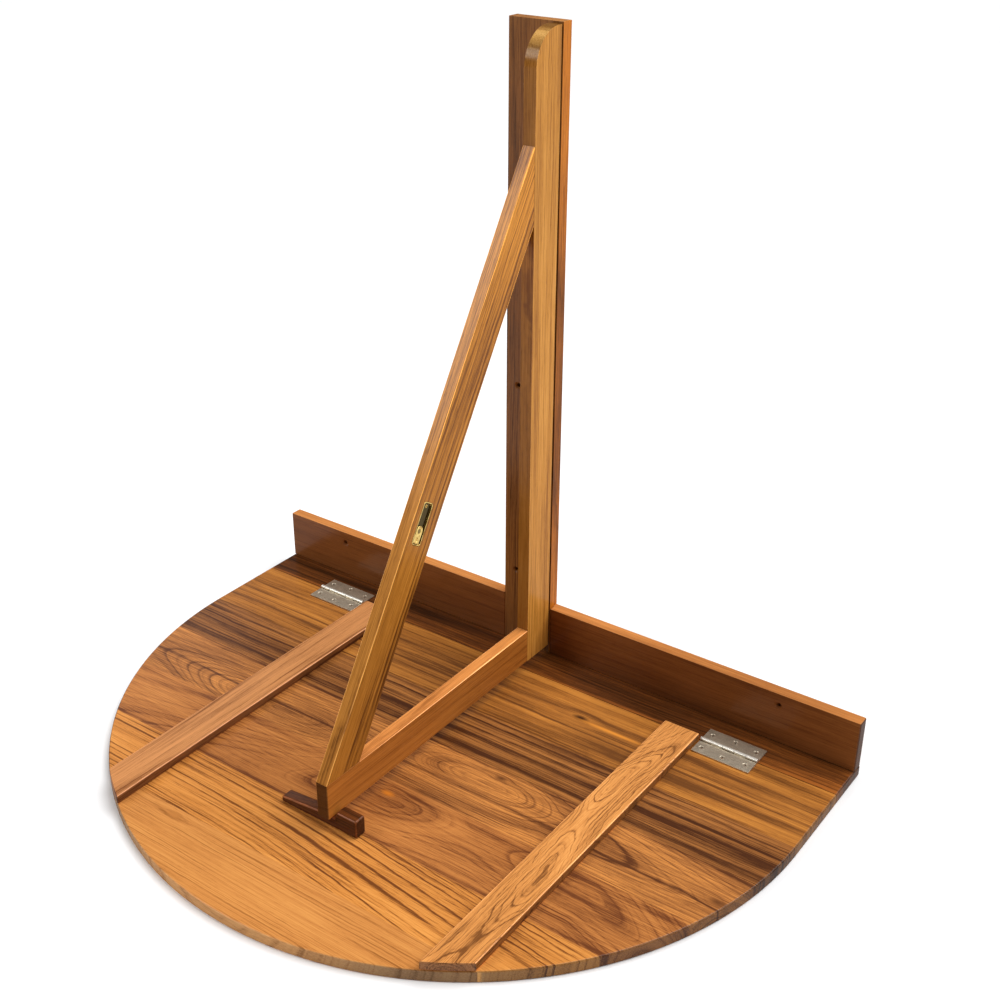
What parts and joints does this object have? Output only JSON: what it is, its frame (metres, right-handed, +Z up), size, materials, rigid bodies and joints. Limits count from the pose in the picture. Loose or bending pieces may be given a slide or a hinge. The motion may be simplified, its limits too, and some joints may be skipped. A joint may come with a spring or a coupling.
{
  "type": "fold-down wall table",
  "caption": "Wall-mounted D-shaped teak table, shown standing on its work face: hinged leaf with battens, wall cleat and post, and a triangular bracket that swings out to prop the leaf.",
  "frame": {"origin": "middle of the bounding box of the whole table on the plane of its work face, which it stands on", "axes": "+Z up, from the work face towards the bracket and post; +Y towards the wall; +X along the wall"},
  "size_m": [0.89, 0.615, 0.822],
  "materials": {
    "teak_wall_frame": "varnished dark teak, satin gloss",
    "teak_leaf": "varnished teak with dark streaks, grain along the wall",
    "teak_battens": "varnished teak, grain along the batten",
    "teak_bracket": "varnished golden teak, straight grain along each member",
    "teak_stop_block": "varnished dark red-brown hardwood",
    "dowel_wood": "plain birch dowel",
    "stainless_steel": "brushed stainless steel",
    "polished_brass": "polished brass"
  },
  "bodies": {
    "wall_frame": {"fixed_strip": "teak_wall_frame", "wall_cleat": "teak_wall_frame", "post_board": "teak_wall_frame", "cleat_dowel_1": "dowel_wood", "cleat_dowel_2": "dowel_wood", "cleat_dowel_3": "dowel_wood", "cleat_dowel_4": "dowel_wood", "hinge_left_wall_leaf": "stainless_steel", "hinge_left_pin": "stainless_steel", "hinge_right_wall_leaf": "stainless_steel", "hinge_right_pin": "stainless_steel", "hinge_left_wall_screw_1": "stainless_steel", "hinge_left_wall_screw_2": "stainless_steel", "hinge_left_wall_screw_3": "stainless_steel", "hinge_right_wall_screw_1": "stainless_steel", "hinge_right_wall_screw_2": "stainless_steel", "hinge_right_wall_screw_3": "stainless_steel", "piano_hinge_post_leaf": "stainless_steel", "piano_hinge_pin": "stainless_steel", "piano_hinge_post_screw_1": "stainless_steel", "piano_hinge_post_screw_2": "stainless_steel", "piano_hinge_post_screw_3": "stainless_steel"},
    "leaf": {"leaf_plank_1": "teak_leaf", "leaf_plank_2": "teak_leaf", "leaf_plank_3": "teak_leaf", "leaf_plank_4": "teak_leaf", "leaf_plank_5": "teak_leaf", "leaf_plank_6": "teak_leaf", "batten_left": "teak_battens", "batten_right": "teak_battens", "stop_block": "teak_stop_block", "hinge_left_table_leaf": "stainless_steel", "hinge_right_table_leaf": "stainless_steel", "hinge_left_table_screw_1": "stainless_steel", "hinge_left_table_screw_2": "stainless_steel", "hinge_left_table_screw_3": "stainless_steel", "hinge_right_table_screw_1": "stainless_steel", "hinge_right_table_screw_2": "stainless_steel", "hinge_right_table_screw_3": "stainless_steel"},
    "bracket": {"bracket_stile": "teak_bracket", "bracket_rail": "teak_bracket", "bracket_diagonal": "teak_bracket", "rail_dowel_1": "dowel_wood", "rail_dowel_2": "dowel_wood", "head_dowel_1": "dowel_wood", "head_dowel_2": "dowel_wood", "foot_dowel_1": "dowel_wood", "foot_dowel_2": "dowel_wood", "piano_hinge_stile_leaf": "stainless_steel", "piano_hinge_stile_screw_1": "stainless_steel", "piano_hinge_stile_screw_2": "stainless_steel", "piano_hinge_stile_screw_3": "stainless_steel", "catch_pan": "polished_brass", "catch_tongue": "polished_brass", "catch_screw_upper": "polished_brass", "catch_screw_lower": "polished_brass"}
  },
  "joints": [
    {"name": "leaf_hinge", "type": "hinge", "parent": "wall_frame", "child": "leaf", "pos_m": [0, 0.241, 0.0179], "axis": [-1, 0, 0], "range_deg": [-2.5, 0]},
    {"name": "bracket_swing", "type": "hinge", "parent": "wall_frame", "child": "bracket", "pos_m": [-0.0055, 0.289, 0.42], "axis": [0, 0, 1], "range_deg": [-90, 0]}
  ]
}
